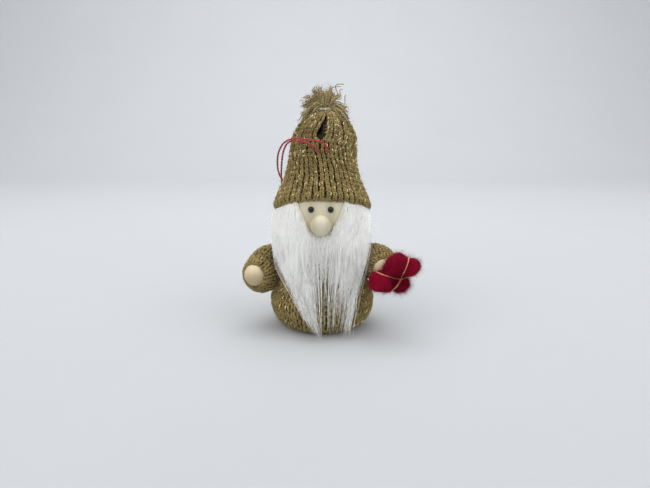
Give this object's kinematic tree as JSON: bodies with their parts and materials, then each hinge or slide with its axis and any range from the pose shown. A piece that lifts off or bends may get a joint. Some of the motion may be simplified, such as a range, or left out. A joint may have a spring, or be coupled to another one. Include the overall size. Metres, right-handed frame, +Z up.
{
  "type": "tomte gnome figurine",
  "caption": "Free-standing knitted gnome with a tall hat, long white beard, round wooden nose, movable arms, a felt parcel and a hanging loop.",
  "frame": {"origin": "centre of the flat foot, on the surface the figure stands on", "axes": "+Z up through the hat, -Y out of the face, +X towards the hand with the parcel"},
  "size_m": [0.0869, 0.0609, 0.1205],
  "materials": {
    "knit": "matte",
    "white_fur": "matte",
    "fur_backing": "matte",
    "pale_wood": "satin",
    "black_bead": "gloss",
    "tie_thread": "matte",
    "red_thread": "satin",
    "red_felt": "matte",
    "gold_cord": "satin",
    "foam": "matte",
    "stuffing": "matte",
    "steel_wire": "satin",
    "card": "matte"
  },
  "bodies": {
    "figure": {"base_disc": "card", "body_cover": "knit", "body_core": "foam", "neck_dowel": "pale_wood", "head_ball": "pale_wood", "nose_bead": "pale_wood", "left_eye": "black_bead", "right_eye": "black_bead", "beard_backing": "fur_backing", "beard_pile": "white_fur", "hat": "knit", "hat_tie": "tie_thread", "hat_tuft": "knit", "hanging_cord": "red_thread"},
    "left_arm": {"left_sleeve": "knit", "left_stuffing": "stuffing", "left_hand": "pale_wood", "left_arm_wire": "steel_wire"},
    "right_arm": {"right_sleeve": "knit", "right_stuffing": "stuffing", "right_hand": "pale_wood", "right_arm_wire": "steel_wire", "gift_parcel": "red_felt", "gift_cord_long": "gold_cord", "gift_cord_cross": "gold_cord"}
  },
  "joints": [
    {"name": "left_shoulder", "type": "hinge", "parent": "figure", "child": "left_arm", "pos_m": [-0.0254, 0.0012, 0.0326], "axis": [-0.9397, -0.342, 0], "range_deg": [-40, 60]},
    {"name": "right_shoulder", "type": "hinge", "parent": "figure", "child": "right_arm", "pos_m": [0.024, 0.0012, 0.0334], "axis": [-0.9397, 0.342, 0], "range_deg": [-20, 45]}
  ]
}
